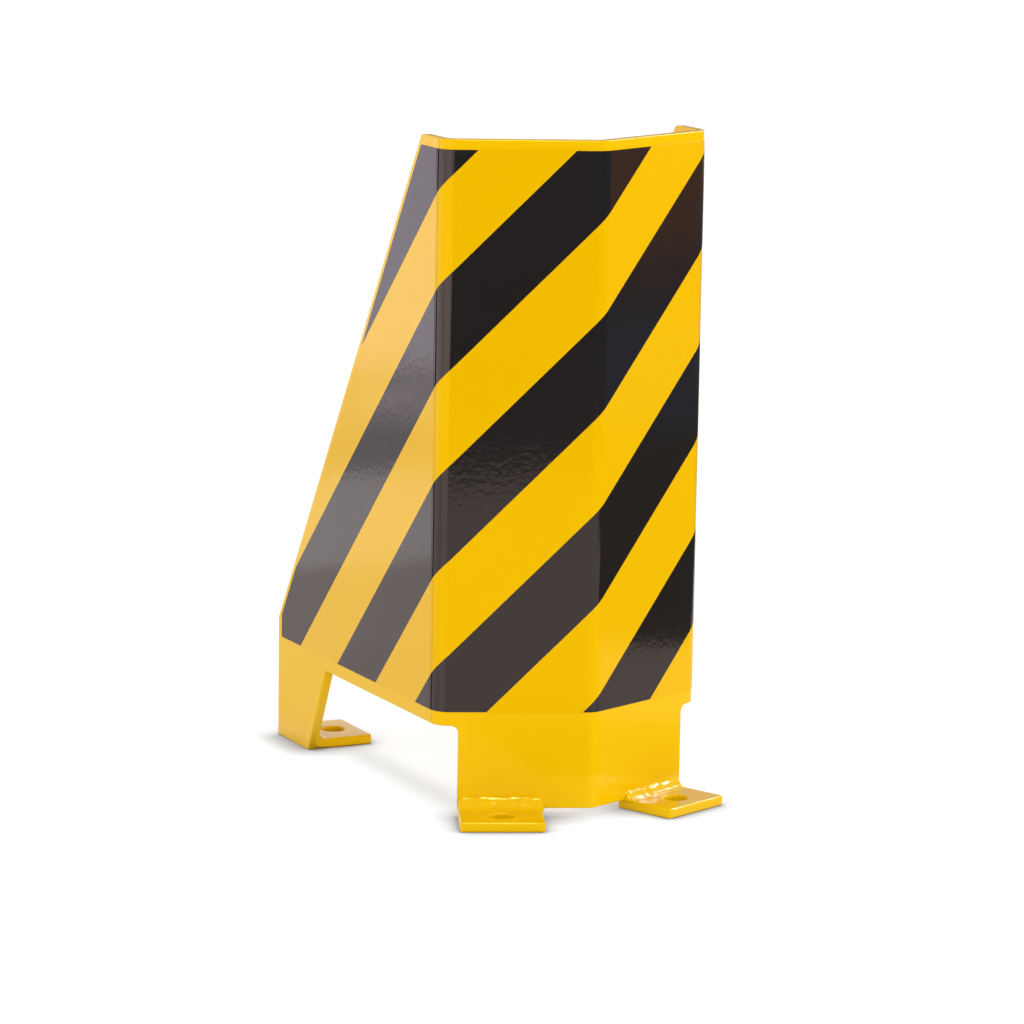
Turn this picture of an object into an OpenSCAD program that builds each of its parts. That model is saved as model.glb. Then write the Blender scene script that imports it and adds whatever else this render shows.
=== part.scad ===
// Corner impact guard: one folded steel sheet on four welded foot plates.
// Z is up, the nose ridge points towards -Y and the two wings run back towards +Y.
// X = 0 is the plane of symmetry, and the origin is the bottom centre of the bounding box.
// All sizes are in millimetres.

/* [Guard] */
// Height of the sheet above the floor
overall_height = 400; // [300:5:800]
// Width over the outer faces of the two wings
outer_width = 172; // [140:1:240]
// Distance from the nose ridge to the rear edge of the wings
sheet_depth = 270; // [240:1:400]
// Angle that the sheet turns through at the nose ridge
ridge_turn = 45; // [20:1:90]
// Thickness of the steel sheet
sheet_t = 6; // [3:0.5:10]
// Outside radius of the three vertical bends
bend_outer_r = 12; // [8:0.5:16]

/* [Wings] */
// Length of the wing's level top edge, from the side corner
wing_top_length = 31; // [20:1:60]
// Height of the vertical rear edge above the floor
rear_edge_height = 76; // [70:1:120]
// Rounding where the level top edge meets the sloping edge
top_corner_r = 3; // [1:0.5:6]

/* [Legs] */
// Height of the openings between the legs
opening_height = 55.5; // [40:0.5:65]
// Distance that the nose leg's side edges stand in from the side bends, along the face
nose_leg_inset = 5; // [2:0.5:12]
// Rounding at the top of the nose leg's side edges
leg_corner_r = 4.5; // [2:0.5:8]
// Width of the rear leg at the floor
rear_foot_length = 47.4; // [40:0.1:60]
// Width of the rear leg at the top of the opening
rear_leg_top_length = 73.4; // [60:0.1:90]

/* [Foot plates] */
// Thickness of the foot plates
plate_t = 6; // [4:0.5:10]
// Width of a front plate along the nose face
front_plate_width = 50; // [40:1:60]
// Distance a front plate stands out from the nose face
front_plate_reach = 34; // [25:1:50]
// Distance a rear plate reaches in from the wing's inner face
rear_plate_reach = 38; // [30:1:50]
// Rounding of the plates' free corners
plate_corner_r = 2; // [1:0.5:5]
// Diameter of the anchor holes
hole_d = 14; // [10:0.5:18]
// Distance from the wing's inner face to the rear hole's centre
rear_hole_reach = 21.5; // [16:0.5:32]

/* [Welds] */
// Height of a front bead up the nose face
bead_height = 6.4; // [4:0.1:9]
// Width of a front bead on the foot plate
bead_width = 7.2; // [4:0.1:10]
// Radius of the bead's rounded face
bead_face_r = 14; // [12:0.5:24]
// Radius of the hollow rear fillets
rear_fillet_r = 8; // [3:0.5:10]
// Distance the welds stop short of the plate ends
weld_end_gap = 1; // [0.5:0.5:4]

/* [Hazard film] */
// Thickness of the adhesive film
film_t = 0.3; // [0.2:0.05:0.5]
// Thickness of the printed black bands
ink_t = 0.1; // [0.05:0.05:0.2]
// Bare margin above the film
film_top_margin = 6; // [3:0.5:15]
// Bare margin between the top of the openings and the film
film_bottom_margin = 8.5; // [3:0.5:12]
// Bare margin behind the film on each wing
film_rear_margin = 6; // [3:0.5:12]
// Bare margin along the sloping edge, measured level
film_slope_margin = 4.7; // [2:0.1:10]
// Width of each band, square to its edges
band_width = 40; // [25:1:60]
// Height at which the topmost whole band's lower edge crosses the ridge
band_start = 353.7; // [300:0.1:395]

/* [Hidden] */
// Smoothness of round parts
$fn = 96;

// Small overshoot for clean cuts
over = 1;

// A bend and a flat that only touched would not join. So each bend stands out by a hair and
// turns on past its ends by a small angle, and each flat runs on into the bend by a small length
joint_swell = 0.01;
joint_lap = 2.8;
flat_lap = 0.42;

// Offset of the ink from the sheet's outer face, clear of the film on flats and bends alike
ink_base = film_t + joint_swell;

// Angle left bare between the ink on a bend and the ink on the flats beside it
ink_break = 0.25;

// The two side bends complete the turn that sets the wings parallel
half_ridge = ridge_turn / 2;
side_turn = 90 - half_ridge;

// Nose faces, measured between the sharp corners that the bends round off
half_width = outer_width / 2;
face_length = half_width / cos(half_ridge);
nose_depth = half_width * tan(half_ridge);
wing_length = sheet_depth - nose_depth;

// Distance that each bend takes up along the faces on either side of it
ridge_setback = bend_outer_r * tan(half_ridge);
side_setback = bend_outer_r * tan(side_turn / 2);

// Distance from the ridge to the nose leg's side edges, with which the front plates lie flush
nose_leg_reach = face_length - side_setback - nose_leg_inset;
front_plate_near = nose_leg_reach - front_plate_width;

// The front-most point is the rounded inner corner of a front plate
front_overhang = (front_plate_reach - plate_corner_r) * cos(half_ridge)
               - (front_plate_near + plate_corner_r) * sin(half_ridge) + plate_corner_r;
ridge_y = (front_overhang - sheet_depth) / 2;
side_y = ridge_y + nose_depth;
rear_y = ridge_y + sheet_depth;

// Edges of the wings in side view
top_corner_y = side_y + wing_top_length;
foot_front_y = rear_y - rear_foot_length;
leg_front_y = rear_y - rear_leg_top_length;
slope_run = rear_y - top_corner_y;
slope_drop = overall_height - rear_edge_height;
slope_angle = atan2(slope_drop, slope_run);
top_corner_setback = top_corner_r * tan(slope_angle / 2);

// Height of the sloping edge at a given distance back
function slope_z(y) = overall_height - (y - top_corner_y) * slope_drop / slope_run;

// The weld's rounded face is an arc through its two toes
bead_chord = sqrt(bead_height * bead_height + bead_width * bead_width);
bead_dip = sqrt(bead_face_r * bead_face_r - bead_chord * bead_chord / 4);

// Outline of the film in side view
film_rear_y = rear_y - film_rear_margin;
film_bottom = opening_height + film_bottom_margin;
film_top_z = overall_height - film_top_margin;
film_top_y = top_corner_y + film_top_margin * slope_run / slope_drop - film_slope_margin;
film_corner_z = slope_z(film_rear_y + film_slope_margin);

// The bands climb at 45 degrees on the unrolled film, so a band is this tall on a face
band_rise = band_width * sqrt(2);
band_pitch = 2 * band_rise;

// Unrolled distances from the ridge to where each flat or bend begins
ridge_arc = bend_outer_r * half_ridge * PI / 180;
side_arc = bend_outer_r * side_turn * PI / 180;
panel_length = face_length - ridge_setback - side_setback;
flat_wing = wing_length - side_setback;
wing_start = ridge_arc + panel_length + side_arc;
wing_end = wing_start + flat_wing;

// Moves a nose-face drawing into place: x runs along the face from the ridge, +y is inwards
module on_nose_face() {
  translate([0, ridge_y, 0])
    rotate([0, 0, half_ridge])
      children();
}

// Draws its children on the right, or mirrored on the left
module on_side(right) {
  if (right) {
    children();
  } else {
    mirror([1, 0, 0]) children();
  }
}

// Extrudes a side-view drawing (y across, z up) through the given x range
module across_x(from_x, to_x) {
  translate([from_x, 0, 0])
    rotate([90, 0, 90])
      linear_extrude(height = to_x - from_x)
        children();
}

// Sector of a flat ring, opening from one compass angle to another
module ring_sector(outer_r, inner_r, from_a, to_a) {
  mid_a = (from_a + to_a) / 2;
  reach = 2 * outer_r;
  intersection() {
    difference() {
      circle(r = outer_r);
      circle(r = inner_r);
    }
    polygon([[0, 0],
             [reach * cos(from_a), reach * sin(from_a)],
             [reach * 1.3 * cos(mid_a), reach * 1.3 * sin(mid_a)],
             [reach * cos(to_a), reach * sin(to_a)]]);
  }
}

// Plan view of a layer's bend, between two offsets from the outer face
module bend_plan(near, far, from_a, to_a) {
  ring_sector(bend_outer_r + far + joint_swell, bend_outer_r + near + joint_swell,
              from_a - joint_lap, to_a + joint_lap);
}

// Plan view of a layer wrapped round the right half, between two offsets from the outer face
module half_plan(near, far) {
  layer = far - near;
  translate([0, ridge_y])
    rotate(half_ridge)
      translate([ridge_setback - flat_lap, -far])
        square([panel_length + 2 * flat_lap, layer]);
  translate([half_width - bend_outer_r, side_y + side_setback])
    bend_plan(near, far, half_ridge - 90, 0);
  translate([half_width + near, side_y + side_setback - flat_lap])
    square([layer, flat_wing + flat_lap]);
}

// Plan view of a layer wrapped round the whole guard
module wrapped_plan(near, far) {
  half_plan(near, far);
  mirror([1, 0]) half_plan(near, far);
  translate([0, ridge_y + bend_outer_r / cos(half_ridge)])
    bend_plan(near, far, -90 - half_ridge, half_ridge - 90);
}

// Side view of the wing's outer edge, with its rounded top corner
module wing_outline() {
  front = ridge_y - 2 * bend_outer_r;
  run = top_corner_setback;
  polygon([[front, 0],
           [rear_y, 0],
           [rear_y, rear_edge_height],
           [top_corner_y + run * cos(slope_angle), overall_height - run * sin(slope_angle)],
           [top_corner_y - run, overall_height],
           [front, overall_height]]);
  translate([top_corner_y - run, overall_height - top_corner_r])
    circle(r = top_corner_r);
}

// Side view of the opening, up to the slanting front edge of the rear leg
module opening_outline() {
  slant = (foot_front_y - leg_front_y) / opening_height;
  polygon([[ridge_y, -over],
           [foot_front_y + over * slant, -over],
           [leg_front_y, opening_height],
           [ridge_y, opening_height]]);
}

// Opening seen square to the nose face, rounded at the top of the nose leg
module leg_edge_outline() {
  far = 3 * half_width;
  translate([nose_leg_reach, -over])
    square([far, opening_height + over - leg_corner_r]);
  translate([nose_leg_reach + leg_corner_r, -over])
    square([far, opening_height + over]);
  translate([nose_leg_reach + leg_corner_r, opening_height - leg_corner_r])
    circle(r = leg_corner_r);
}

// Opening between the nose leg and one rear leg
module side_opening() {
  intersection() {
    across_x(0, 2 * half_width) opening_outline();
    on_nose_face()
      translate([0, 3 * half_width, 0])
        rotate([90, 0, 0])
          linear_extrude(height = 4 * half_width)
            leg_edge_outline();
  }
}

// The folded sheet, with its openings and its nose leg cut short to stand on the plates
module guard_sheet() {
  color([0.95, 0.73, 0.02])
    difference() {
      intersection() {
        linear_extrude(height = overall_height)
          wrapped_plan(-sheet_t, 0);
        across_x(-half_width - over, half_width + over)
          wing_outline();
      }
      side_opening();
      mirror([1, 0, 0]) side_opening();
      translate([-half_width, ridge_y - 2 * bend_outer_r, -over])
        cube([2 * half_width, 2 * bend_outer_r + nose_depth + over, plate_t + over]);
    }
}

// Plan view of a front plate, in the nose-face drawing
module front_plate_plan() {
  r = plate_corner_r;
  translate([front_plate_near, r - front_plate_reach])
    square([front_plate_width, front_plate_reach + sheet_t - r]);
  translate([front_plate_near + r, -front_plate_reach])
    square([front_plate_width - 2 * r, 2 * r]);
  translate([front_plate_near + r, r - front_plate_reach])
    circle(r = r);
  translate([nose_leg_reach - r, r - front_plate_reach])
    circle(r = r);
}

// Flat front plate with its anchor hole, under the nose leg and out in front of it
module front_plate(right) {
  color([0.93, 0.71, 0.03])
    on_side(right)
      on_nose_face()
        difference() {
          linear_extrude(height = plate_t)
            front_plate_plan();
          translate([front_plate_near + front_plate_width / 2, -front_plate_reach / 2, -over])
            cylinder(d = hole_d, h = plate_t + 2 * over);
        }
}

// Plan view of a rear plate, from the wing's inner face inwards
module rear_plate_plan() {
  r = plate_corner_r;
  inner_x = half_width - sheet_t;
  near_x = inner_x - rear_plate_reach;
  translate([near_x + r, foot_front_y])
    square([rear_plate_reach - r, rear_foot_length]);
  translate([near_x, foot_front_y + r])
    square([2 * r, rear_foot_length - 2 * r]);
  translate([near_x + r, foot_front_y + r])
    circle(r = r);
  translate([near_x + r, rear_y - r])
    circle(r = r);
}

// Flat rear plate with its anchor hole, butted against the inside of the rear leg
module rear_plate(right) {
  color([0.93, 0.71, 0.03])
    on_side(right)
      difference() {
        linear_extrude(height = plate_t)
          rear_plate_plan();
        translate([half_width - sheet_t - rear_hole_reach, rear_y - rear_foot_length / 2, -over])
          cylinder(d = hole_d, h = plate_t + 2 * over);
      }
}

// Cross-section of a front bead: corner at the origin, plate leg along -x, face leg up
module bead_section() {
  lean = atan2(bead_width, bead_height);
  mid_x = -bead_width / 2;
  mid_z = bead_height / 2;
  intersection() {
    translate([-bead_width - over, 0])
      square([bead_width + over, bead_height + over]);
    translate([mid_x + bead_dip * cos(lean), mid_z - bead_dip * sin(lean)])
      circle(r = bead_face_r);
  }
}

// Bead along the outside of the nose leg, on the front plate
module front_weld(right) {
  color([0.96, 0.76, 0.08])
    on_side(right)
      on_nose_face()
        translate([front_plate_near + weld_end_gap, 0, plate_t])
          rotate([90, 0, 90])
            linear_extrude(height = front_plate_width - 2 * weld_end_gap)
              bead_section();
}

// Hollow fillet along the inside of the rear leg, on the rear plate
module rear_weld(right) {
  inner_x = half_width - sheet_t;
  color([0.96, 0.76, 0.08])
    on_side(right)
      translate([0, rear_y - weld_end_gap, plate_t])
        rotate([90, 0, 0])
          linear_extrude(height = rear_foot_length - 2 * weld_end_gap)
            difference() {
              translate([inner_x - rear_fillet_r, 0])
                square([rear_fillet_r, rear_fillet_r]);
              translate([inner_x - rear_fillet_r, rear_fillet_r])
                circle(r = rear_fillet_r);
            }
}

// Side view of the film, inside the sheet's edges on every side
module film_outline() {
  front = ridge_y - 2 * bend_outer_r;
  polygon([[front, film_bottom],
           [film_rear_y, film_bottom],
           [film_rear_y, film_corner_z],
           [film_top_y, film_top_z],
           [front, film_top_z]]);
}

// Printed adhesive film round the nose and along both wings
module hazard_film() {
  color([0.98, 0.78, 0.0])
    intersection() {
      translate([0, 0, film_bottom - over])
        linear_extrude(height = film_top_z - film_bottom + 2 * over)
          difference() {
            wrapped_plan(-sheet_t, film_t);
            wrapped_plan(-sheet_t - over, 0);
          }
      across_x(-2 * half_width, 2 * half_width)
        film_outline();
    }
}

// Numbers of the first and last bands that touch a stretch of the unrolled film
function first_band(from_q) = ceil((band_start + from_q - film_top_z) / band_pitch);
function last_band(to_q) = floor((band_start + band_rise + to_q - film_bottom) / band_pitch);

// Bands on a stretch of film, drawn with x from x0 to x1 for unrolled q0 to q1
module band_stripes(x0, x1, q0, q1) {
  for (n = [first_band(q0) : last_band(q1)]) {
    low = band_start - n * band_pitch;
    polygon([[x0, low + q0],
             [x1, low + q1],
             [x1, low + q1 + band_rise],
             [x0, low + q0 + band_rise]]);
  }
}

// Printed bands on one nose face; turn is +1 on the right and -1 on the left
module panel_bands(turn) {
  q0 = ridge_arc;
  q1 = ridge_arc + panel_length;
  on_side(turn > 0)
    on_nose_face()
      translate([0, -ink_base, 0])
        rotate([90, 0, 0])
          linear_extrude(height = ink_t)
            intersection() {
              if (turn > 0) {
                band_stripes(ridge_setback, ridge_setback + panel_length, q0, q1);
              } else {
                translate([ridge_setback + panel_length, 0])
                  mirror([1, 0])
                    band_stripes(0, panel_length, -q1, -q0);
              }
              translate([0, film_bottom])
                square([face_length, film_top_z - film_bottom]);
            }
}

// Printed bands on one wing
module wing_bands(turn) {
  y0 = side_y + side_setback;
  intersection() {
    across_x(half_width + ink_base, half_width + ink_base + ink_t)
      film_outline();
    across_x(half_width, half_width + over)
      if (turn > 0) {
        band_stripes(y0, rear_y, wing_start, wing_end);
      } else {
        translate([rear_y, 0])
          mirror([1, 0])
            band_stripes(0, flat_wing, -wing_end, -wing_start);
      }
  }
}

// Printed bands round a bend of the given turn, drawn with its outermost line on -y
module bend_bands(turn_angle, q_mid) {
  layer_r = bend_outer_r + ink_base;
  half_chord = (layer_r + ink_t) * sin(turn_angle / 2);
  half_arc = bend_outer_r * turn_angle / 2 * PI / 180;
  reach = turn_angle / 2 - ink_break;
  intersection() {
    translate([0, 0, film_bottom])
      linear_extrude(height = film_top_z - film_bottom)
        ring_sector(layer_r + ink_t, layer_r, -90 - reach, reach - 90);
    rotate([90, 0, 0])
      linear_extrude(height = 2 * layer_r)
        band_stripes(-half_chord, half_chord, q_mid - half_arc, q_mid + half_arc);
  }
}

// Black printed bands, climbing to the right and carried on round each bend
module black_bands() {
  side_mid = ridge_arc + panel_length + side_arc / 2;
  color([0.07, 0.065, 0.07]) {
    panel_bands(1);
    panel_bands(-1);
    wing_bands(1);
    mirror([1, 0, 0]) wing_bands(-1);
    translate([0, ridge_y + bend_outer_r / cos(half_ridge), 0])
      bend_bands(ridge_turn, 0);
    translate([half_width - bend_outer_r, side_y + side_setback, 0])
      rotate([0, 0, 90 - side_turn / 2])
        bend_bands(side_turn, side_mid);
    translate([bend_outer_r - half_width, side_y + side_setback, 0])
      rotate([0, 0, side_turn / 2 - 90])
        bend_bands(side_turn, -side_mid);
  }
}

guard_sheet();
front_plate(false);  // front_plate_left
front_plate(true);  // front_plate_right
rear_plate(false);  // rear_plate_left
rear_plate(true);  // rear_plate_right
front_weld(false);  // front_weld_left
front_weld(true);  // front_weld_right
rear_weld(false);  // rear_weld_left
rear_weld(true);  // rear_weld_right
hazard_film();
black_bands();
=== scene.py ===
# %% [markdown]
# # Corner impact guard
#
# This notebook dresses a folded steel guard that protects the corner upright of a pallet rack.
# One 6 mm steel blank is folded three times, stands on four drilled foot plates, and wears a
# striped adhesive film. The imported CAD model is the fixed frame: every piece made here sits
# exactly where its CAD solid is.
#
# The guard's own lengths are given in millimetres and turned into Blender's metres with `MM`.
# The studio around it is laid out in metres.

import math

import bmesh
import bpy
from mathutils import Matrix, Vector


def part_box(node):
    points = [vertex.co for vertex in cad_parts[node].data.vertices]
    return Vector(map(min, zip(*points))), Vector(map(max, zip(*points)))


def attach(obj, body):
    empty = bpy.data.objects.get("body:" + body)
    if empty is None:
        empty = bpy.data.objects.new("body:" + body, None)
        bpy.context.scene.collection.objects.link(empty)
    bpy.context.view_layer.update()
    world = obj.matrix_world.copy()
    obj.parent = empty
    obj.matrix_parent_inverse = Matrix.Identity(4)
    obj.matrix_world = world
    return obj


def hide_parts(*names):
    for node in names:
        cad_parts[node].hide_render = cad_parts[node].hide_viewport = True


MM = 0.001

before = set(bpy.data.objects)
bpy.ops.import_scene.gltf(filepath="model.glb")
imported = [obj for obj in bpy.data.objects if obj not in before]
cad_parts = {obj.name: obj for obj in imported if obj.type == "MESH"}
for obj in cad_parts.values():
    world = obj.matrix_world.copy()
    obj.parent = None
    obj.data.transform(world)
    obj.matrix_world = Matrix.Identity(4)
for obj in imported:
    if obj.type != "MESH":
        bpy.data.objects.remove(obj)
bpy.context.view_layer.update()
print("CAD nodes:", sorted(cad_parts))

# %% [markdown]
# ## Camera
#
# The camera stands where the photograph was taken from: a little left of the nose and well
# above the floor, with a long lens. A camera can be placed by eye, or it can be solved from
# points whose place on the object is known. Here the stripes were a good ruler: position,
# heading, tilt and roll came from fitting their edges, and are written as plain values.

# %% Place the camera
camera_place = Vector((-1227.5, -2511.9, 679.0)) * MM
camera_heading = math.radians(26.141)
camera_tilt = math.radians(10.480)
camera_roll = math.radians(0.924)

camera = bpy.data.objects.new("studio_camera", bpy.data.cameras.new("studio_camera"))
camera.data.lens = 164.9
camera.data.sensor_width = 36.0
camera.data.clip_end = 60.0
camera.matrix_world = (
    Matrix.Translation(camera_place)
    @ Matrix.Rotation(-camera_heading, 4, "Z")
    @ Matrix.Rotation(math.pi / 2 - camera_tilt, 4, "X")
    @ Matrix.Rotation(camera_roll, 4, "Z")
)
bpy.context.scene.collection.objects.link(camera)
bpy.context.scene.camera = camera
bpy.context.scene.view_settings.view_transform = "Standard"
print("camera is", round(camera_place.length, 2), "m from the guard")

# %% [markdown]
# ## The unrolled blank
#
# A press brake folds flat sheet, so the guard is drawn the same way: as a flat blank with
# `s` running along the unrolled outer face from the nose ridge and `z` running up. Three
# Simple Deform modifiers could bend a flat mesh too, but their bends are hard to place to a
# tenth of a millimetre. So one function, `fold`, carries any point of the blank to its place.
# The same function places the film, which then follows the bends exactly, and its stripes
# stay continuous.

# %% Sizes of the folded sheet
sheet_t = 6.0
bend_r = 12.0
half_ridge = math.radians(22.5)
side_turn = math.pi / 2 - half_ridge
half_width = 86.0
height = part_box("guard_sheet")[1].z / MM
rear_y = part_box("guard_sheet")[1].y / MM
ridge_y = rear_y - 270.0

face_length = half_width / math.cos(half_ridge)
side_y = ridge_y + half_width * math.tan(half_ridge)
ridge_setback = bend_r * math.tan(half_ridge)
side_setback = bend_r * math.tan(side_turn / 2)
ridge_arc = bend_r * half_ridge
side_arc = bend_r * side_turn
panel_length = face_length - ridge_setback - side_setback
panel_end = ridge_arc + panel_length
wing_start = panel_end + side_arc
print("nose face", round(face_length, 1), "mm, flat panel", round(panel_length, 1), "mm")


# %% Fold a point of the blank
def fold(s, z, depth):
    """Place in metres of the blank's point (s, z), at a depth inwards from the outer face."""
    side = 1.0 if s >= 0 else -1.0
    s = abs(s)
    if s <= ridge_arc:
        turn = s / bend_r
        centre_y = ridge_y + bend_r / math.cos(half_ridge)
        x = (bend_r - depth) * math.sin(turn)
        y = centre_y - (bend_r - depth) * math.cos(turn)
    elif s <= panel_end:
        along = s - ridge_arc + ridge_setback
        x = along * math.cos(half_ridge) - depth * math.sin(half_ridge)
        y = ridge_y + along * math.sin(half_ridge) + depth * math.cos(half_ridge)
    elif s <= wing_start:
        turn = half_ridge + (s - panel_end) / bend_r
        x = half_width - bend_r + (bend_r - depth) * math.sin(turn)
        y = side_y + side_setback - (bend_r - depth) * math.cos(turn)
    else:
        x = half_width - depth
        y = side_y + side_setback + s - wing_start
    return Vector((side * x, y, z)) * MM


def bend_cuts(steps_ridge=14, steps_side=18):
    """Values of s where the blank is cut so that its bends come out round."""
    cuts = [ridge_arc * (2 * i / steps_ridge - 1) for i in range(steps_ridge + 1)]
    for i in range(steps_side + 1):
        s = panel_end + side_arc * i / steps_side
        cuts += [s, -s]
    return sorted(cuts)


print("blank is cut at", len(bend_cuts()), "places")


# %% [markdown]
# ## Outlines
#
# The laser leaves few corners of the blank quite sharp, and the film's corners are nipped
# round as well. A Bevel modifier could round them later, but it would also touch corners that
# stay sharp. Rounding the drawing itself lets each corner have its own radius. The guard is
# the same on both sides of the ridge, so only its right half is drawn.

# %% Round and mirror an outline
def rounded(outline, radii, steps=8):
    """The outline with each corner named in radii, by its number, replaced by an arc."""
    points = []
    for i, corner in enumerate(outline):
        radius = radii.get(i, 0.0)
        if not radius:
            points.append(corner)
            continue
        here = Vector(corner)
        to_last = (Vector(outline[i - 1]) - here).normalized()
        to_next = (Vector(outline[(i + 1) % len(outline)]) - here).normalized()
        half = to_last.angle(to_next) / 2
        centre = here + (to_last + to_next).normalized() * radius / math.sin(half)
        start = here + to_last * radius / math.tan(half) - centre
        end = here + to_next * radius / math.tan(half) - centre
        sweep = start.angle_signed(end)
        for k in range(steps + 1):
            turned = Matrix.Rotation(-sweep * k / steps, 2) @ start
            points.append(tuple(centre + turned))
    return points


def mirrored(half):
    """A whole outline from its right half, which starts and ends on the ridge."""
    inner = [p for p in half if p[0] > 1e-6]
    ends = [p for p in half if p[0] <= 1e-6]
    left = [(-x, z) for x, z in reversed(inner)]
    return [ends[0]] + inner + [ends[1]] + left


square = [(0, 0), (10, 0), (10, 10), (0, 10)]
print("a square with two round corners has", len(rounded(square, {0: 2, 1: 2})), "points")


# %% [markdown]
# ## From an outline to a folded piece
#
# Steel, film and ink are all thin sheets with one outline, so one builder makes them. Plane,
# Solidify and Bevel would be the quick way, but Solidify guesses the inside of a bend. Here
# the flat face is cut along every bend line, pulled to its thickness and rounded at its rim
# while all is still flat and easy, and only then folded.

# %% Build a folded piece
def folded_piece(name, outline, outer_depth, inner_depth, edge_r, edge_steps, cuts=(), keep=None):
    """A closed sheet piece: flat outline, given thickness, rounded at its rim, then folded."""
    bm = bmesh.new()
    face = bm.faces.new([bm.verts.new((s, outer_depth, z)) for s, z in outline])
    if face.normal.y > 0:
        face.normal_flip()
    for point, normal in [((s, 0, 0), (1, 0, 0)) for s in bend_cuts()] + list(cuts):
        bmesh.ops.bisect_plane(
            bm, geom=bm.verts[:] + bm.edges[:] + bm.faces[:], dist=1e-5,
            plane_co=point, plane_no=normal,
        )
    if keep:
        spare = []
        for f in bm.faces:
            middle = f.calc_center_median()
            if not keep(middle.x, middle.z):
                spare.append(f)
        bmesh.ops.delete(bm, geom=spare, context="FACES")
    outer = bm.faces[:]
    grown = bmesh.ops.extrude_face_region(bm, geom=outer, use_keep_orig=True)
    for v in [g for g in grown["geom"] if isinstance(g, bmesh.types.BMVert)]:
        v.co.y = inner_depth
    bmesh.ops.recalc_face_normals(bm, faces=bm.faces)
    rim = [
        e for e in bm.edges
        if len(e.link_faces) == 2 and e.calc_face_angle(0) > math.radians(60)
        and abs(e.verts[0].co.y - e.verts[1].co.y) < 1e-4
    ]
    if edge_steps:
        bmesh.ops.bevel(
            bm, geom=rim, offset=edge_r, segments=edge_steps, profile=0.5, affect="EDGES",
            clamp_overlap=True,
        )
    unrolled = bm.loops.layers.uv.new("unrolled")
    for f in bm.faces:
        f.smooth = True
        for loop in f.loops:
            loop[unrolled].uv = (loop.vert.co.x * MM, loop.vert.co.z * MM)
    for v in bm.verts:
        v.co = fold(v.co.x, v.co.z, v.co.y)
    return finish_mesh(name, bm)


def finish_mesh(name, bm):
    """Turns the bmesh into an object that rides on the guard, shaded smoothly."""
    bmesh.ops.recalc_face_normals(bm, faces=bm.faces)
    if bm.calc_volume(signed=True) < 0:
        # A drilled plate can come out with every face pointing inwards
        bmesh.ops.reverse_faces(bm, faces=bm.faces)
    mesh = bpy.data.meshes.new(name)
    bm.to_mesh(mesh)
    bm.free()
    for polygon in mesh.polygons:
        polygon.use_smooth = True
    piece = bpy.data.objects.new(name, mesh)
    bpy.context.scene.collection.objects.link(piece)
    weighted = piece.modifiers.new("even_shading", "WEIGHTED_NORMAL")
    weighted.weight = 80
    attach(piece, "root")
    print(name, "has", len(mesh.polygons), "faces")
    return piece


# %% [markdown]
# ## The steel sheet
#
# The body of the guard is one sheet of 6 mm steel. Its outline carries everything that the
# laser cut: the sloping rear edges, the openings that leave a nose leg and two rear legs, and
# a small radius at the top of the nose leg. Nose, wings and legs could be separate blocks
# joined at the bends, but the seams would show in the gloss. Powder coat builds up softly on
# cut edges, so the rim is rounded by 1.7 mm, which catches a thin line of light.

# %% Make the folded sheet
plate_t = 6.0
opening_top = 55.5
nose_leg_inset = 5.0
rear_foot = 47.4
rear_leg_top = 73.4
slope_bottom = 76.0
wing_length = 234.37
wing_top = 31.0

leg_reach = face_length - side_setback - nose_leg_inset
leg_side = leg_reach - ridge_setback + ridge_arc
wing_end = wing_start + rear_y - side_y - side_setback
top_level = wing_end - wing_length + wing_top

half_blank = [
    (0.0, plate_t),
    (leg_side, plate_t),
    (leg_side, opening_top),
    (wing_end - rear_leg_top, opening_top),
    (wing_end - rear_foot, 0.0),
    (wing_end, 0.0),
    (wing_end, slope_bottom),
    (top_level, height),
    (0.0, height),
]
half_blank = rounded(half_blank, {2: 4.5, 3: 0.8, 6: 2.0, 7: 3.0})
guard = folded_piece("folded_guard_sheet", mirrored(half_blank), 0.0, sheet_t, 1.7, 6)
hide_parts("guard_sheet")
steel = [guard]

# %% [markdown]
# ## The hazard film
#
# The film is one thin piece that stops short of every cut edge. A shader could paint it on
# the steel, but then it would have no edge of its own. It is made with the same folding
# function and stands 0.3 mm proud of the steel. Its UV map is simply the unrolled blank,
# which is what the printer saw.

# %% Make the film
top_margin, bottom_margin, rear_margin, slope_margin = 6.0, 8.5, 6.0, 4.7
film_top = height - top_margin
film_bottom = opening_top + bottom_margin
film_end = wing_end - rear_margin
slope_run = (wing_end - top_level) / (height - slope_bottom)
film_corner = height - (film_end + slope_margin - top_level) / slope_run
film_top_end = top_level + (height - film_top) * slope_run - slope_margin

half_film = [
    (0.0, film_bottom),
    (film_end, film_bottom),
    (film_end, film_corner),
    (film_top_end, film_top),
    (0.0, film_top),
]
half_film = rounded(half_film, {1: 0.6, 2: 0.6, 3: 0.6}, steps=3)
film = folded_piece("yellow_film", mirrored(half_film), -0.31, -0.005, 0.05, 2)
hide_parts("hazard_film")
print("film covers z", film_bottom, "to", film_top, "mm")

# %% [markdown]
# ## The black bands
#
# On the unrolled film the bands are straight and run at 45 degrees, so `z - s` is constant
# along each of their edges. A stripe pattern in the shader would be shorter. Cutting real
# faces was chosen because it keeps every edge of the print sharp at any distance, and lets
# the ink have a finish of its own. The film's outline is cut along those edges while it is
# still flat, the yellow faces are thrown away, and what is left is folded as before.

# %% Print the bands
band_width = 40.0
band_pitch = 2 * band_width * math.sqrt(2)
band_start = 353.7


def is_black(s, z):
    """True where the printer laid black ink: half of every pitch, from band_start up."""
    return ((z - s - band_start) / band_pitch) % 1.0 < 0.5


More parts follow.
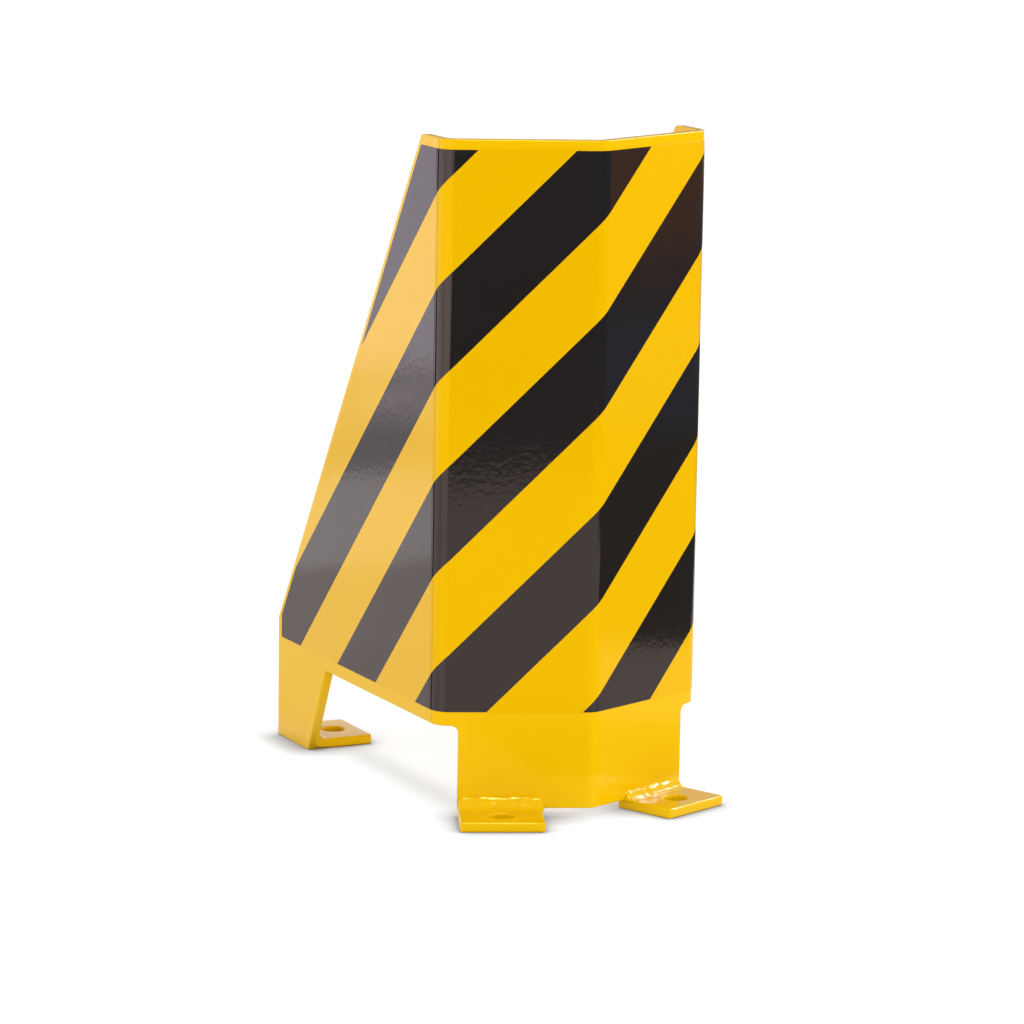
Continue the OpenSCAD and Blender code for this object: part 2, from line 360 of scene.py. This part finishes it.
edge_cuts = [
    ((0, 0, band_start + band_pitch * n / 2), (-1, 0, 1)) for n in range(-13, 8)
]
bands = folded_piece(
    "black_bands_ink", mirrored(half_film), -0.35, -0.30, 0.0, 0, cuts=edge_cuts, keep=is_black,
)
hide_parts("black_bands")
print("bands are", band_width, "mm wide,", round(band_pitch, 1), "mm apart up a face")


# %% [markdown]
# ## The foot plates
#
# Each plate is a piece of flat bar with one anchor hole. A cube with a Boolean hole is the
# usual way, but long thin faces round the hole spoil its shading once it is bevelled. Here
# top and bottom are rings of quads that run from the hole to the outline. That keeps the hole
# truly round and lets both rims be rounded like the coated edges of the real plates.

# %% Build a drilled plate
def drilled_plate(name, outline, hole, hole_r, thickness, edge_r, place):
    """A flat plate with one round hole. place carries its drawing to where the plate lies."""
    centre = Vector(hole)
    rays = sorted(
        {round(math.atan2(y - centre.y, x - centre.x), 6) for x, y in outline}
        | {round(math.tau * k / 96 - math.pi, 6) for k in range(96)}
    )
    ring = []
    for angle in rays:
        way = Vector((math.cos(angle), math.sin(angle)))
        best = None
        for a, b in zip(outline, outline[1:] + outline[:1]):
            a, side = Vector(a), Vector(b) - Vector(a)
            cross = way.x * side.y - way.y * side.x
            if abs(cross) < 1e-9:
                continue
            rel = a - centre
            reach = (rel.x * side.y - rel.y * side.x) / cross
            where = (rel.x * way.y - rel.y * way.x) / cross
            if reach > 0 and -1e-6 <= where <= 1 + 1e-6 and (best is None or reach > best):
                best = reach
        ring.append((centre + way * hole_r, centre + way * best))

    bm = bmesh.new()
    layers = []
    for z in (0.0, thickness):
        inner = [bm.verts.new((p.x, p.y, z)) for p, _ in ring]
        outer = [bm.verts.new((q.x, q.y, z)) for _, q in ring]
        layers.append((inner, outer))
    (low_in, low_out), (top_in, top_out) = layers
    count = len(ring)
    for i in range(count):
        j = (i + 1) % count
        bm.faces.new((top_in[i], top_out[i], top_out[j], top_in[j]))
        bm.faces.new((low_in[j], low_out[j], low_out[i], low_in[i]))
        bm.faces.new((low_out[i], low_out[j], top_out[j], top_out[i]))
        bm.faces.new((low_in[j], low_in[i], top_in[i], top_in[j]))
    bmesh.ops.recalc_face_normals(bm, faces=bm.faces)
    for at_hole, radius in ((True, 1.5), (False, edge_r)):
        rim = []
        for e in bm.edges:
            a, b = e.verts[0].co, e.verts[1].co
            if e.calc_face_angle(0) > math.radians(60) and abs(a.z - b.z) < 1e-4:
                if ((a.xy - centre).length < hole_r + 0.1) == at_hole:
                    rim.append(e)
        bmesh.ops.bevel(bm, geom=rim, offset=radius, segments=4, profile=0.5, affect="EDGES")
    for v in bm.verts:
        v.co = place(v.co.x, v.co.y, v.co.z)
    return finish_mesh(name, bm)


def on_nose_face(side):
    """Placer for a nose-face drawing: u along the face from the ridge, v out from the face."""
    def place(u, v, z):
        x = u * math.cos(half_ridge) + v * math.sin(half_ridge)
        y = ridge_y + u * math.sin(half_ridge) - v * math.cos(half_ridge)
        return Vector((side * x, y, z)) * MM
    return place


def on_wing(side):
    """Placer for a wing drawing: u forwards from the rear edge, v in from the outer face."""
    def place(u, v, z):
        return Vector((side * (half_width - v), rear_y - u, z)) * MM
    return place


# %% Make the four plates
hole_r = 7.0
front_width = 50.0
front_reach = 34.0
rear_reach = sheet_t + 38.0
rear_hole = sheet_t + 21.5

front_outline = rounded(
    [(leg_reach - front_width, -sheet_t), (leg_reach, -sheet_t),
     (leg_reach, front_reach), (leg_reach - front_width, front_reach)],
    {0: 0.8, 1: 0.8, 2: 2.0, 3: 2.0}, steps=6,
)
rear_outline = rounded(
    [(0.0, sheet_t), (rear_foot, sheet_t), (rear_foot, rear_reach), (0.0, rear_reach)],
    {2: 2.0, 3: 2.0}, steps=6,
)
for side, hand in ((-1, "left"), (1, "right")):
    front = drilled_plate(
        "front_foot_" + hand, front_outline, (leg_reach - front_width / 2, front_reach / 2),
        hole_r, plate_t, 1.1, on_nose_face(side),
    )
    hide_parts("front_plate_" + hand)
    rear = drilled_plate(
        "rear_foot_" + hand, rear_outline, (rear_foot / 2, rear_hole),
        hole_r, plate_t, 1.2, on_wing(side),
    )
    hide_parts("rear_plate_" + hand)
    steel += [front, rear]


# %% [markdown]
# ## The front weld beads
#
# A hand-laid fillet is never a plain prism. Its two toes wander, it is fat in some places
# and lean in others, and it runs out round at both ends. A curve with a round bevel would look
# like a sausage, and sculpting can't be repeated. So the bead is swept along the joint as
# rings of points. Each ring follows one profile, which leaves the wall and the plate at a
# shallow angle, and sums of sines move it about, so it comes out the same on every run.

# %% Helpers for welds
def join_rings(bm, rings):
    """Skins neighbouring rings with quads and closes both ends."""
    width = len(rings[0])
    for a, b in zip(rings, rings[1:]):
        for j in range(width):
            k = (j + 1) % width
            bm.faces.new((a[j], a[k], b[k], b[j]))
    bm.faces.new(rings[0])
    bm.faces.new(list(reversed(rings[-1])))


def run_out(u, start, end, lengths):
    """1 along the weld, falling on a quarter circle towards each end."""
    size = 1.0
    for to_end, length in ((u - start, lengths[0]), (end - u, lengths[1])):
        if to_end < length:
            size *= math.sqrt(max(0.03, 1 - (1 - to_end / length) ** 2))
    return size


def wander(u, phase, slow, fast):
    """A slow and a fast sine in one, between -1 and 1."""
    return 0.65 * math.sin(u * slow + phase) + 0.35 * math.sin(u * fast + 2.3 * phase)


print("1 mm from its end a weld has", round(run_out(1, 0, 50, (3.5, 3.5)), 2), "of its size")

# %% Lay the front beads
bead_profile = [
    (-0.05, 1.11), (-0.003, 1.032), (0.036, 0.952), (0.075, 0.873), (0.138, 0.810), (0.210, 0.738),
    (0.275, 0.651), (0.335, 0.557), (0.395, 0.462), (0.455, 0.368), (0.521, 0.275), (0.601, 0.188),
    (0.720, 0.132), (0.826, 0.066), (0.948, 0.018), (1.062, -0.014), (1.150, -0.048),
]


def front_bead(name, start, end, out_leg, up_leg, phase, place):
    """A bead from start to end. Its legs run out over the plate and up the nose leg."""
    bm = bmesh.new()
    rings = []
    for i in range(201):
        u = start + (end - start) * i / 200
        size = run_out(u, start, end, (3.5, 3.5))
        out = (out_leg + 0.40 * wander(u, 3 * phase, 0.29, 0.67)) * size
        up = (up_leg + 0.40 * wander(u, phase, 0.33, 0.71)) * size
        ring = [bm.verts.new(place(u, -0.6, plate_t - 0.6))]
        for j, (v, z) in enumerate(bead_profile):
            t = j / (len(bead_profile) - 1)
            fat = 0.45 * wander(u + 4 * t, 1.3 * phase, 0.20, 0.50)
            fat += 0.02 * math.sin((u + 1.6 * math.sin(math.pi * t)) * math.tau / 2.6)
            fat *= size * math.sin(math.pi * t) ** 2
            ring.append(bm.verts.new(place(u, v * out + fat * 0.7, plate_t + z * up + fat * 0.7)))
        rings.append(ring)
    join_rings(bm, rings)
    return finish_mesh(name, bm)


for side, hand, legs in ((-1, "left", (6.9, 6.3)), (1, "right", (6.3, 5.6))):
    bead = front_bead(
        "front_bead_" + hand, leg_reach - front_width - 1.5, leg_reach - 0.2, *legs,
        0.7 + side, on_nose_face(side),
    )
    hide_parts("front_weld_" + hand)
    steel.append(bead)

# %% [markdown]
# ## The rear fillets
#
# The rear plates are welded to the inside of the legs with a hollow fillet, and at the front
# the weld is carried down over the joint, so leg, weld and plate flow into one another under
# the coat. Joining the three with a Boolean and smoothing the seam would blur the plate's
# edges too. A swept weld keeps them crisp. Its rings first run forwards along the joint. The
# last ones lean with the leg's sloping edge and then slide down the plate's front face.

# %% Lay the rear fillets
fillet_r = 8.0
leg_slope = (rear_leg_top - rear_foot) / opening_top


def fillet_profile(steps=14):
    """Points (v, z) of a hollow quarter circle, from inside the leg down to inside the plate."""
    points = [(-1.9, fillet_r - 0.8), (-1.2, fillet_r), (-0.5, fillet_r + 0.6)]
    for k in range(steps + 1):
        angle = math.pi / 2 * k / steps
        v = fillet_r * (1 - math.cos(angle)) + 0.02
        z = fillet_r * (1 - math.sin(angle)) + 0.02
        points.append((v, z))
    points.append((fillet_r + 0.9, -0.4))
    return points


def weld_front(v, z):
    """How far forward the weld's front face stands: flush with the leg, then with the plate."""
    lean = max(0.0, 1 - max(v, 0.0) / fillet_r) ** 2
    proud = 0.04
    if v < -1.5 or v > fillet_r + 0.4:
        proud = -0.35
    return rear_foot + proud + leg_slope * max(z, 0.0) * lean


def inside_wing(side):
    """Placer for a drawing that starts on the inner face of a wing."""
    def place(u, v, z):
        return on_wing(side)(u, sheet_t + v, z)
    return place


def rear_fillet(name, phase, place):
    """A fillet that starts near the rear edge and wraps down over the plate's front face."""
    bm = bmesh.new()
    rings = []
    profile = fillet_profile()
    for i in range(61):
        share = i / 60
        ring = [bm.verts.new(place(0.8 + (rear_foot - 3.0) * share, -2.2, plate_t - 0.8))]
        for v, z in profile:
            u = 0.8 + (weld_front(v, plate_t + z) - 1.6) * share
            size = run_out(u, 0.8, 90.0, (2.5, 0.1)) * (1 + 0.03 * wander(u, phase, 0.42, 1.1))
            ring.append(bm.verts.new(place(u, v * size, plate_t + z * size)))
        rings.append(ring)
    set_back = {0.02: 0.30, 0.07: 0.08}
    for drop in (0.02, 0.07, 0.13, 0.25, 0.4, 0.6, 0.8, 1.0):
        back = set_back.get(drop, 0.0)
        core = (plate_t - 0.8) * (1 - drop) + 0.4 * drop
        ring = [bm.verts.new(place(rear_foot - 2.5, -2.2, core))]
        for v, z in profile:
            low = (plate_t + z) * (1 - drop) + 0.35 * drop
            ring.append(bm.verts.new(place(weld_front(v, low) - back, v, low)))
        rings.append(ring)
    join_rings(bm, rings)
    return finish_mesh(name, bm)


for side, hand in ((-1, "left"), (1, "right")):
    fillet = rear_fillet("rear_bead_" + hand, 1.9 + side, inside_wing(side))
    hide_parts("rear_weld_" + hand)
    steel.append(fillet)


# %% [markdown]
# ## Finishes
#
# Three finishes cover the guard. The steel wears a glossy yellow powder coat with the slight
# orange peel that powder leaves when it flows out in the oven. The film is printed in yellow
# and black. It is smoother, but it is pressed onto the coat and shows its waves too, which is
# why the reflections in the black bands have a wandering edge.
#
# Pictures of paint could be used, but they would smear on the bends. All three finishes
# follow one recipe instead: a Principled shader, a colour that drifts a little, and two noise
# bumps, one for the peel and one for long waves. The film has a third bump, for the upright
# marks that the press brake leaves at each side bend.

# %% Helpers for the finishes
def new_material(name):
    """A material with nothing but a Principled shader and its output."""
    material = bpy.data.materials.new(name)
    material.use_nodes = True
    tree = material.node_tree
    tree.nodes.clear()
    output = tree.nodes.new("ShaderNodeOutputMaterial")
    shader = tree.nodes.new("ShaderNodeBsdfPrincipled")
    tree.links.new(shader.outputs["BSDF"], output.inputs["Surface"])
    return material, tree, shader


def waves(tree, length, detail=1.0):
    """Noise in the object's own space. length is the distance from crest to crest in mm."""
    place = tree.nodes.new("ShaderNodeTexCoord")
    noise = tree.nodes.new("ShaderNodeTexNoise")
    noise.inputs["Scale"].default_value = 1 / (length * MM)
    noise.inputs["Detail"].default_value = detail
    tree.links.new(place.outputs["Object"], noise.inputs["Vector"])
    return noise.outputs["Fac"]


def bump(tree, heights, depth, below=None):
    """Bump from heights between 0 and 1, depth mm from lowest to highest."""
    node = tree.nodes.new("ShaderNodeBump")
    node.inputs["Strength"].default_value = 1.0
    node.inputs["Distance"].default_value = depth * MM
    tree.links.new(heights, node.inputs["Height"])
    if below is not None:
        tree.links.new(below, node.inputs["Normal"])
    return node.outputs["Normal"]


def maths(tree, operation, *values):
    """The output of one Math node. Each value is a number or another node's output."""
    node = tree.nodes.new("ShaderNodeMath")
    node.operation = operation
    for k, value in enumerate(values):
        if isinstance(value, (int, float)):
            node.inputs[k].default_value = value
        else:
            tree.links.new(value, node.inputs[k])
    return node.outputs[0]


def split_of(tree, vector):
    """The three parts of a vector, each as an output."""
    node = tree.nodes.new("ShaderNodeSeparateXYZ")
    tree.links.new(vector, node.inputs["Vector"])
    return node.outputs["X"], node.outputs["Y"], node.outputs["Z"]


def brake_marks(tree):
    """Height of the fine upright marks that folding leaves in the film at each side bend."""
    unrolled = tree.nodes.new("ShaderNodeUVMap")
    unrolled.uv_map = "unrolled"
    around, up, _ = split_of(tree, unrolled.outputs["UV"])
    along = maths(tree, "ABSOLUTE", around)
    bend_middle = (panel_end + side_arc / 2) * MM
    from_middle = maths(tree, "ABSOLUTE", maths(tree, "SUBTRACT", along, bend_middle))
    inside = maths(tree, "LESS_THAN", from_middle, (side_arc / 2) * MM)
    stretched = tree.nodes.new("ShaderNodeCombineXYZ")
    tree.links.new(around, stretched.inputs["X"])
    tree.links.new(maths(tree, "MULTIPLY", up, 0.03), stretched.inputs["Y"])
    noise = tree.nodes.new("ShaderNodeTexNoise")
    noise.inputs["Scale"].default_value = 1 / (2.2 * MM)
    noise.inputs["Detail"].default_value = 1.0
    tree.links.new(stretched.outputs["Vector"], noise.inputs["Vector"])
    marks = maths(tree, "MULTIPLY", noise.outputs["Fac"], inside)
    from_line = maths(tree, "ABSOLUTE", maths(tree, "SUBTRACT", along, (wing_start + 0.3) * MM))
    groove = maths(tree, "MINIMUM", maths(tree, "DIVIDE", from_line, 0.7 * MM), 1.0)
    return maths(tree, "ADD", marks, groove)


def finish_of(name, tones, roughness, ior, tint, peel, drift, marks=0.0):
    """One of the guard's finishes. peel and drift are (length, depth) of its two bumps."""
    material, tree, shader = new_material(name)
    shader.inputs["Roughness"].default_value = roughness
    shader.inputs["IOR"].default_value = ior
    shader.inputs["Specular Tint"].default_value = (*tint, 1)
    mix = tree.nodes.new("ShaderNodeMix")
    mix.data_type = "RGBA"
    mix.inputs["A"].default_value = (*tones[0], 1)
    mix.inputs["B"].default_value = (*tones[1], 1)
    tree.links.new(waves(tree, 60, 2), mix.inputs["Factor"])
    tree.links.new(mix.outputs["Result"], shader.inputs["Base Color"])
    surface = bump(tree, waves(tree, peel[0]), peel[1])
    surface = bump(tree, waves(tree, drift[0]), drift[1], surface)
    if marks:
        surface = bump(tree, brake_marks(tree), marks, surface)
    tree.links.new(surface, shader.inputs["Normal"])
    print(name, "peel", peel[0], "mm, drift", drift[0], "mm")
    return material


def wear(piece, material):
    """Gives a piece one material."""
    piece.data.materials.clear()
    piece.data.materials.append(material)


# %% Powder coat on the steel
coat = finish_of(
    "yellow_powder_coat", ((0.672, 0.388, 0.0), (0.692, 0.400, 0.0)), 0.12, 1.42,
    (1.0, 0.85, 0.18), peel=(3.6, 0.018), drift=(14.0, 0.03),
)
for piece in steel:
    wear(piece, coat)
print("coated", len(steel), "steel pieces")

# %% Print on the film
yellow_print = finish_of(
    "yellow_print", ((0.640, 0.358, 0.0), (0.656, 0.367, 0.0)), 0.11, 1.5,
    (1.0, 0.82, 0.05), peel=(3.2, 0.03), drift=(18.0, 0.04), marks=0.05,
)
black_print = finish_of(
    "black_print", ((0.0082, 0.0070, 0.0066), (0.0100, 0.0084, 0.0080)), 0.09, 1.5,
    (1.0, 1.0, 1.0), peel=(3.2, 0.042), drift=(18.0, 0.045), marks=0.05,
)
wear(film, yellow_print)
wear(bands, black_print)

# %% [markdown]
# ## Studio floor
#
# The photograph shows the guard on white, with a soft grey shade close to each foot and a faint
# grey band below each wing. A plain white plane under lamps would pick up yellow from the guard,
# and every lamp would cast a shadow of its own. The floor here is a light table instead. Most of
# its white is its own glow, and an ambient occlusion node dims that glow close to whatever stands
# on it, so the shade round each foot is painted into the glow and not cast by the lamps.

# %% Floor
def stage_plane(name, across, along, heading, lift):
    """A level sheet in metres, from across[0] to across[1] and from along[0] to along[1]."""
    mesh = bpy.data.meshes.new(name)
    corners = [(x, y, 0) for y in along for x in across]
    mesh.from_pydata([corners[0], corners[1], corners[3], corners[2]], [], [(0, 1, 2, 3)])
    plane = bpy.data.objects.new(name, mesh)
    plane.matrix_world = Matrix.Translation((0, 0, lift)) @ Matrix.Rotation(-heading, 4, "Z")
    bpy.context.scene.collection.objects.link(plane)
    return plane


floor = stage_plane("studio_floor", (-30, 30), (-30, 30), 0, 0)
paper, tree, shader = new_material("light_table_painted_shade")
shader.inputs["Roughness"].default_value = 0.9
shader.inputs["Base Color"].default_value = (0.26, 0.275, 0.29, 1)
shader.inputs["Specular IOR Level"].default_value = 0.1
shader.inputs["Emission Color"].default_value = (1, 1, 1, 1)
# Painted contact shade: the floor's glow is dimmed where geometry stands close above it, whatever
# the lamps do.
openness = tree.nodes.new("ShaderNodeAmbientOcclusion")
openness.samples = 8
openness.inputs["Distance"].default_value = 0.022
contact = maths(tree, "POWER", openness.outputs["AO"], 2.2)
wear(floor, paper)
print("contact shade reaches", openness.inputs["Distance"].default_value / MM, "mm")

# %% [markdown]
# ## Painted shade under the wings, painted light under the nose
#
# Occlusion alone leaves the floor below a wing white, because the wing hangs 55 mm above it, and
# it darkens the slot under the nose, which is light in the photograph. Both are put right with
# bells: values that are 1 on a line or a spot of the floor and fade out round it. A painted shadow
# dims the glow in a band below each wing, and painted light gives back part of the painted contact
# shade under the nose.

# %% Paint shade and light into the floor's glow
def fading(tree, distance, reach):
    """1 where distance is nothing, falling like a bell and nearly gone at twice the reach."""
    share = maths(tree, "DIVIDE", distance, reach)
    squared = maths(tree, "MULTIPLY", share, share)
    return maths(tree, "EXPONENT", maths(tree, "MULTIPLY", squared, -1.0))


where = tree.nodes.new("ShaderNodeTexCoord")
across, along, up = split_of(tree, where.outputs["Object"])

# Painted shadow: a soft grey band dimmed into the floor's glow along a line under each wing.
painted_shadow_x = 0.059
painted_shadow_half = 0.08
from_painted_shadow = maths(tree, "SUBTRACT", maths(tree, "ABSOLUTE", across), painted_shadow_x)
past_end = maths(tree, "SUBTRACT", maths(tree, "ABSOLUTE", along), painted_shadow_half)
past_end = maths(tree, "MAXIMUM", past_end, 0.0)
painted_wing_shadow = maths(tree, "MULTIPLY", fading(tree, from_painted_shadow, 0.013), fading(tree, past_end, 0.02))

# Painted light: under the nose, up to 0.7 of the painted contact shade is given back to the glow.
beside_ridge = maths(tree, "SUBTRACT", across, 0.004)
from_ridge = maths(tree, "SUBTRACT", along, ridge_y * MM)
painted_light_spot = maths(
    tree, "MULTIPLY", fading(tree, beside_ridge, 0.022), fading(tree, from_ridge, 0.035)
)
painted_contact_shade = maths(tree, "SUBTRACT", 1.0, contact)
painted_light_under_nose = maths(tree, "MULTIPLY", painted_contact_shade, maths(tree, "MULTIPLY", painted_light_spot, 0.7))
glow_left = maths(tree, "ADD", contact, painted_light_under_nose)
# The painted wing shadow takes up to 0.23 of the glow away.
glow_left = maths(tree, "SUBTRACT", glow_left, maths(tree, "MULTIPLY", painted_wing_shadow, 0.23))
tree.links.new(maths(tree, "MULTIPLY", glow_left, 0.76), shader.inputs["Emission Strength"])
print("floor shader has", len(tree.nodes), "nodes")

# %% [markdown]
# ## Cards for the reflections
#
# Glossy black shows whatever lies in front of it. In the photograph the lowest bands are grey
# because they mirror white paper, and the upper ones are nearly black, or a little brown,
# because they mirror the dim room beyond the paper's edge. A picture of a room, wrapped round
# the scene, is the usual way to get this. Flat cards need no picture and can be laid exactly
# where each tone begins. They glow, and only reflections see them.

# %% Helpers for cards
def glow(name, tone, strength, mottle=0.0):
    """A light of one tone. With mottle, its strength drifts by that share from place to place."""
    material = bpy.data.materials.new(name)
    material.use_nodes = True
    tree = material.node_tree
    tree.nodes.clear()
    output = tree.nodes.new("ShaderNodeOutputMaterial")
    emission = tree.nodes.new("ShaderNodeEmission")
    emission.inputs["Color"].default_value = (*tone, 1)
    emission.inputs["Strength"].default_value = strength
    if mottle:
        spread = tree.nodes.new("ShaderNodeMapRange")
        spread.inputs["From Min"].default_value = 0.35
        spread.inputs["From Max"].default_value = 0.65
        spread.inputs["To Min"].default_value = strength * (1 - mottle)
        spread.inputs["To Max"].default_value = strength * (1 + mottle)
        tree.links.new(waves(tree, 55, 0), spread.inputs["Value"])
        tree.links.new(spread.outputs["Result"], emission.inputs["Strength"])
    tree.links.new(emission.outputs["Emission"], output.inputs["Surface"])
    return material


def seen_in_reflections(sheet, tone, strength, mottle=0.0):
    """Makes a sheet glow, and hides it from the camera, from diffuse light and from shadows."""
    wear(sheet, glow(sheet.name + "_tone", tone, strength, mottle))
    sheet.visible_camera = False
    sheet.visible_diffuse = False
    sheet.visible_shadow = False


def reflected_card(name, across, along, heading, tone, strength, mottle=0.0):
    """A card on the floor, in metres, turned by heading."""
    sheet = stage_plane(name, across, along, heading, 0.002)
    seen_in_reflections(sheet, tone, strength, mottle)


# %% [markdown]
# The first cards lie square to the camera, which looks along `aim`. The left face of the nose
# mirrors what is straight in front of it. The right face mirrors a strip that runs off to the
# right, where the tone turns from warm black through a cool one to brown. The higher a point
# stands on a face, the further away is the floor that it mirrors.

# %% Cards in front and on the right
aim = camera_heading
reflected_card("front_card", (-0.62, 0.85), (-6, -1.25), aim, (1.0, 0.9, 0.85), 0.10)
reflected_card("front_paper", (-0.62, 0.85), (-1.25, -0.36), aim, (1.0, 0.79, 0.72), 1.16)
reflected_card("side_card", (0.85, 5), (-6, -0.36), aim, (0.8, 0.9, 1.0), 0.11)
reflected_card("right_paper", (0.24, 0.53), (-0.25, 0.40), aim, (1.0, 0.80, 0.73), 1.0)
reflected_card("right_low", (0.53, 1.43), (-0.36, 3), aim, (1.0, 0.75, 0.5), 0.11)
reflected_card("right_cool", (1.43, 2.16), (-0.36, 3), aim, (0.51, 0.65, 1.0), 0.25)
reflected_card("right_even", (2.16, 2.50), (-0.36, 3), aim, (1.0, 0.64, 0.65), 0.13)
reflected_card("right_turn", (2.50, 2.70), (-0.36, 3), aim, (1.0, 0.5, 0.35), 0.30)
reflected_card("right_blue", (2.70, 5), (-0.36, 0.1), aim, (0.6, 0.8, 1.0), 0.13)
reflected_card("right_warm", (2.70, 5), (0.1, 3), aim, (1.0, 0.39, 0.16), 0.50)
top = height * MM
top_reach = top * camera_place.xy.length / (camera_place.z - top)
print("the top of a face mirrors floor", round(top_reach, 2), "m away")

# %% [markdown]
# The camera sees the left wing at a low angle, so the wing mirrors the floor behind the guard
# strongly. These cards are laid square to the wing, in strips from near to far.

# %% Cards behind
reflected_card("back_paper_low", (-1.2, -0.1), (0.10, 0.35), 0, (1.0, 0.87, 0.83), 0.95)
reflected_card("back_paper_near", (-1.2, 0.5), (0.35, 0.62), 0, (1.0, 0.87, 0.83), 1.0)
reflected_card("back_paper", (-1.6, 0.5), (0.62, 0.98), 0, (1.0, 0.90, 0.90), 1.42)
reflected_card("back_shade", (-2.0, 0.5), (0.98, 1.2), 0, (1.0, 0.89, 0.97), 0.68)
reflected_card("back_glow", (-2.4, 0.5), (1.2, 1.5), 0, (1.0, 0.87, 0.91), 1.1, mottle=0.8)
reflected_card("back_glow_far", (-4.5, 0.5), (1.5, 5.0), 0, (1.0, 0.90, 1.0), 1.7, mottle=0.2)
print("left wing mirrors six strips")

# %% [markdown]
# A bend mirrors a whole fan of directions at once, squeezed into a few millimetres. Straight
# cards would give it slanting edges, so round the bends the cards are slices of a ring, cut
# by bearing. Each bearing then becomes one upright streak in the gloss.

# %% Slices round the bends
def reflected_slice(name, centre, bearings, distances, tone, strength):
    """Part of a ring on the floor. Bearings turn from the camera towards the left, in degrees."""
    mesh = bpy.data.meshes.new(name)
    corners = []
    for k in range(13):
        bearing = math.radians(bearings[0] + (bearings[1] - bearings[0]) * k / 12) + aim
        way = Vector((-math.sin(bearing), -math.cos(bearing), 0))
        corners += [centre + way * distances[0], centre + way * distances[1]]
    quads = [(2 * k, 2 * k + 1, 2 * k + 3, 2 * k + 2) for k in range(12)]
    mesh.from_pydata(corners, [], quads)
    sheet = bpy.data.objects.new(name, mesh)
    bpy.context.scene.collection.objects.link(sheet)
    seen_in_reflections(sheet, tone, strength)


ridge_foot = Vector((0, ridge_y, 4.0)) * MM
left_bend = Vector((-half_width, side_y, 4.0)) * MM
reflected_slice("near_floor", ridge_foot, (-125, 12), (0.09, 0.245), (1.0, 0.9, 0.85), 0.15)
reflected_slice("left_paper", left_bend, (22, 58), (0.13, 1.3), (1.0, 0.78, 0.73), 1.6)
reflected_slice("left_paper_far", left_bend, (22, 58), (1.3, 6.0), (1.0, 0.71, 0.67), 2.2)
reflected_slice("left_stand", left_bend, (58, 64), (0.13, 6.0), (1.0, 0.75, 0.70), 1.2)
reflected_slice("left_wall", left_bend, (64, 108), (0.13, 1.3), (1.0, 0.78, 0.73), 1.3)
reflected_slice("left_wall_far", left_bend, (64, 108), (1.3, 6.0), (1.0, 0.77, 0.75), 2.0)
reflected_slice("left_gap", left_bend, (108, 125), (0.13, 6.0), (1.0, 0.9, 0.85), 0.12)
print("left bend stands at", [round(c / MM) for c in left_bend], "mm")

# %% [markdown]
# Level faces mirror what stands behind the guard, a little above the floor. One upright card
# gives the right-hand plate its pale sheen. A darker one higher up keeps the narrow top edge
# of the sheet yellow, where it would otherwise melt into the white background.

# %% Upright cards
def upright_card(name, place, across, up, heading, tone, strength):
    """A standing card, centred at place, in metres, and turned by heading."""
    card = stage_plane(name, (-across / 2, across / 2), (-up / 2, up / 2), 0, 0)
    turned = Matrix.Rotation(-heading, 4, "Z") @ Matrix.Rotation(math.pi / 2, 4, "X")
    card.matrix_world = Matrix.Translation(place) @ turned
    seen_in_reflections(card, tone, strength)
    print(name, "stands", place[1], "m behind")


upright_card("back_right_card", (0.47, 0.5, 0.16), 0.5, 0.3, 0, (1.0, 0.97, 0.95), 0.55)
upright_card("back_high_card", (0.93, 1.75, 0.66), 1.2, 0.24, aim, (1.0, 0.85, 0.5), 0.25)

# %% [markdown]
# ## Lights
#
# A pale sky gives most of the light. Three soft fill lamps bring nose, right face and left
# wing to the brightness they have in the photograph. Gloss doesn't see them, so they leave no
# hot spots. Two spark lamps do the opposite: only gloss sees them, and they stand where weld
# toes, plate edges and the rim of the sheet mirror them as thin bright lines.

# %% Lamps
def soft_light(name, place, target, size, watts, tone=(1, 1, 1)):
    """A rectangular lamp at place, in metres, turned towards target."""
    light = bpy.data.lights.new(name, "AREA")
    light.shape = "RECTANGLE"
    light.size, light.size_y = size
    light.energy = watts
    light.color = tone
    lamp = bpy.data.objects.new(name, light)
    lamp.location = place
    lamp.rotation_euler = (Vector(target) - Vector(place)).to_track_quat("-Z", "Y").to_euler()
    bpy.context.scene.collection.objects.link(lamp)
    print(name, "gives", watts, "W")
    return lamp


fill_left = soft_light("left_fill", (-0.9, -2.3, 0.9), (0, 0, 0.2), (0.6, 0.6), 16)
fill_right = soft_light("right_fill", (1.9, -1.3, 0.7), (0, 0, 0.2), (0.6, 0.6), 19)
fill_wing = soft_light("wing_fill", (-2.4, 0.4, 1.3), (0, 0, 0.2), (0.6, 0.6), 11)
for lamp in (fill_left, fill_right, fill_wing):
    lamp.visible_glossy = False

cool = (0.52, 0.58, 1.0)
spark_left = soft_light("left_spark", (-0.60, -1.76, 1.50), (0, 0, 0.1), (0.5, 0.7), 52, cool)
spark_right = soft_light("right_spark", (1.78, 0.10, 1.50), (0, 0, 0.1), (0.7, 0.4), 36, cool)
for lamp in (spark_left, spark_right):
    lamp.visible_diffuse = False

# %% Sky
world = bpy.data.worlds.new("pale_sky")
world.use_nodes = True
sky = world.node_tree.nodes["Background"]
sky.inputs["Color"].default_value = (1, 1, 1, 1)
sky.inputs["Strength"].default_value = 1.04
bpy.context.scene.world = world
print("sky strength", sky.inputs["Strength"].default_value)
